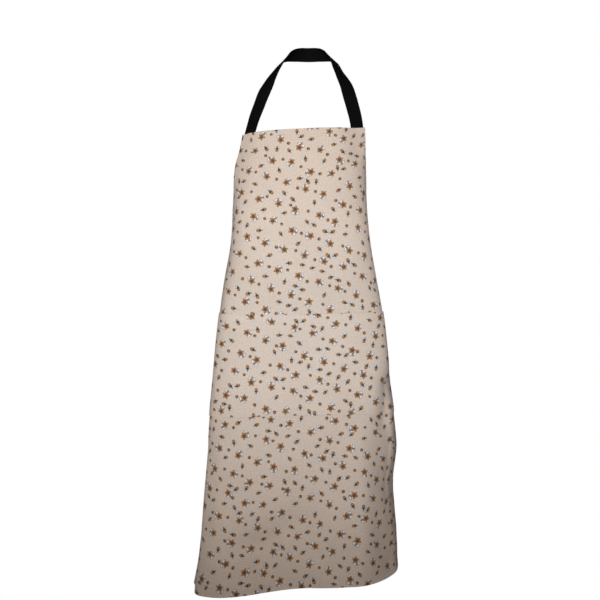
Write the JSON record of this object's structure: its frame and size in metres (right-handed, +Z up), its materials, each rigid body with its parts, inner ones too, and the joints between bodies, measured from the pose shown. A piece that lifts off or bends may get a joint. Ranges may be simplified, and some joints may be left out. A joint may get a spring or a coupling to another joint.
{
  "type": "bib apron",
  "caption": "Bib apron in natural cotton canvas with a small scattered print, a wide patch pocket, a black webbing neck loop and waist ties tied in a bow behind.",
  "frame": {"origin": "on the inner face of the neck strap, in the middle of the back of the neck, where the apron hangs", "axes": "+Z up, the front of the apron faces -Y, +X to the right seen from the front"},
  "size_m": [0.4233, 0.236, 1.1341],
  "materials": {
    "canvas": "plain-woven cotton canvas, matt, with a small print",
    "webbing": "black woven webbing, low sheen"
  },
  "bodies": {
    "root": {"apron_body": "canvas", "pocket": "canvas", "neck_strap": "webbing", "waist_tie_left": "webbing", "waist_tie_right": "webbing", "waist_bow": "webbing"}
  },
  "joints": []
}
